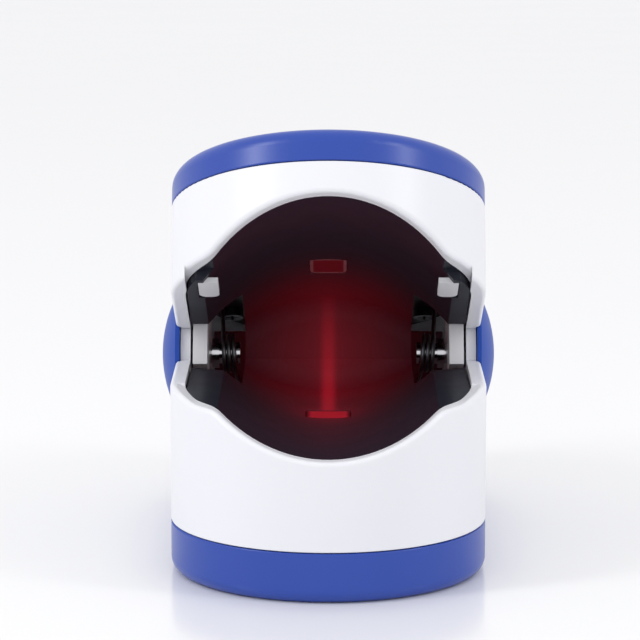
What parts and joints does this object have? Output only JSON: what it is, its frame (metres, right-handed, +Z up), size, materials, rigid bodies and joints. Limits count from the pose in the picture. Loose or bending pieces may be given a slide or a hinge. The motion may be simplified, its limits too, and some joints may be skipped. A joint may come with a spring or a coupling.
{
  "type": "fingertip pulse oximeter",
  "caption": "Spring-hinged finger clip with a red light source under the finger, a light sensor over it, a display window and a power button on top.",
  "frame": {"origin": "middle of the oval footprint, on the underside that rests on the table", "axes": "+X to the right as seen from the finger opening, +Y along the finger from the opening towards the hinge and the rear, +Z up"},
  "size_m": [0.0376, 0.0635, 0.0482],
  "materials": {
    "shell_white": "satin moulded ABS, white",
    "cover_blue": "satin moulded ABS, royal blue",
    "frame_white": "matt moulded ABS, white",
    "pad_black": "glossy black silicone rubber",
    "window_clear": "clear sensor window",
    "display_glass": "smoked display window",
    "led_red": "red emitter chips, lit",
    "screen": "display panel, lit figures",
    "board_green": "printed circuit board",
    "chip_black": "moulded chip package",
    "steel": "bright plated steel",
    "spring_steel": "drawn spring wire",
    "contact_nickel": "nickel plated strip",
    "cell_jacket": "plain dark shrink jacket",
    "button_white": "satin moulded ABS, white"
  },
  "bodies": {
    "lower_body": {"lower_housing": "shell_white", "base_cover": "cover_blue", "lower_frame": "frame_white", "lower_finger_pad": "pad_black", "emitter_window": "window_clear", "emitter_leds": "led_red", "emitter_board": "board_green", "battery_cell_left": "cell_jacket", "battery_cell_right": "cell_jacket", "battery_contacts": "contact_nickel", "battery_springs": "spring_steel", "lower_screws": "steel", "side_cap_left": "cover_blue", "side_cap_right": "cover_blue", "hinge_pin_left": "steel", "hinge_pin_right": "steel", "torsion_spring_left": "spring_steel", "torsion_spring_right": "spring_steel"},
    "upper_body": {"upper_housing": "shell_white", "top_bezel": "cover_blue", "display_window": "display_glass", "display_module": "screen", "display_frame": "frame_white", "main_board": "board_green", "processor": "chip_black", "sounder": "chip_black", "tact_switch": "chip_black", "detector_window": "window_clear", "photodiode": "chip_black", "detector_board": "board_green", "upper_frame": "frame_white", "upper_finger_pad": "pad_black", "upper_screws": "steel"},
    "power_button_body": {"power_button": "button_white"},
    "battery_door_body": {"battery_door": "cover_blue"}
  },
  "joints": [
    {"name": "clip_hinge", "type": "hinge", "parent": "lower_body", "child": "upper_body", "pos_m": [0, 0.006, 0.02], "axis": [-1, 0, 0], "range_deg": [-25, 0], "stiffness_Nm_per_rad": 0.1, "springref_deg": -71.05, "deforming": ["torsion_spring_left", "torsion_spring_right"]},
    {"name": "button_press", "type": "slide", "parent": "upper_body", "child": "power_button_body", "axis": [0, -0.4226, -0.9063], "range_m": [0, 0.0005], "stiffness_N_per_m": 1500, "springref_m": -0.0004},
    {"name": "door_slide", "type": "slide", "parent": "lower_body", "child": "battery_door_body", "axis": [0, 1, 0], "range_m": [0, 0.045]}
  ]
}
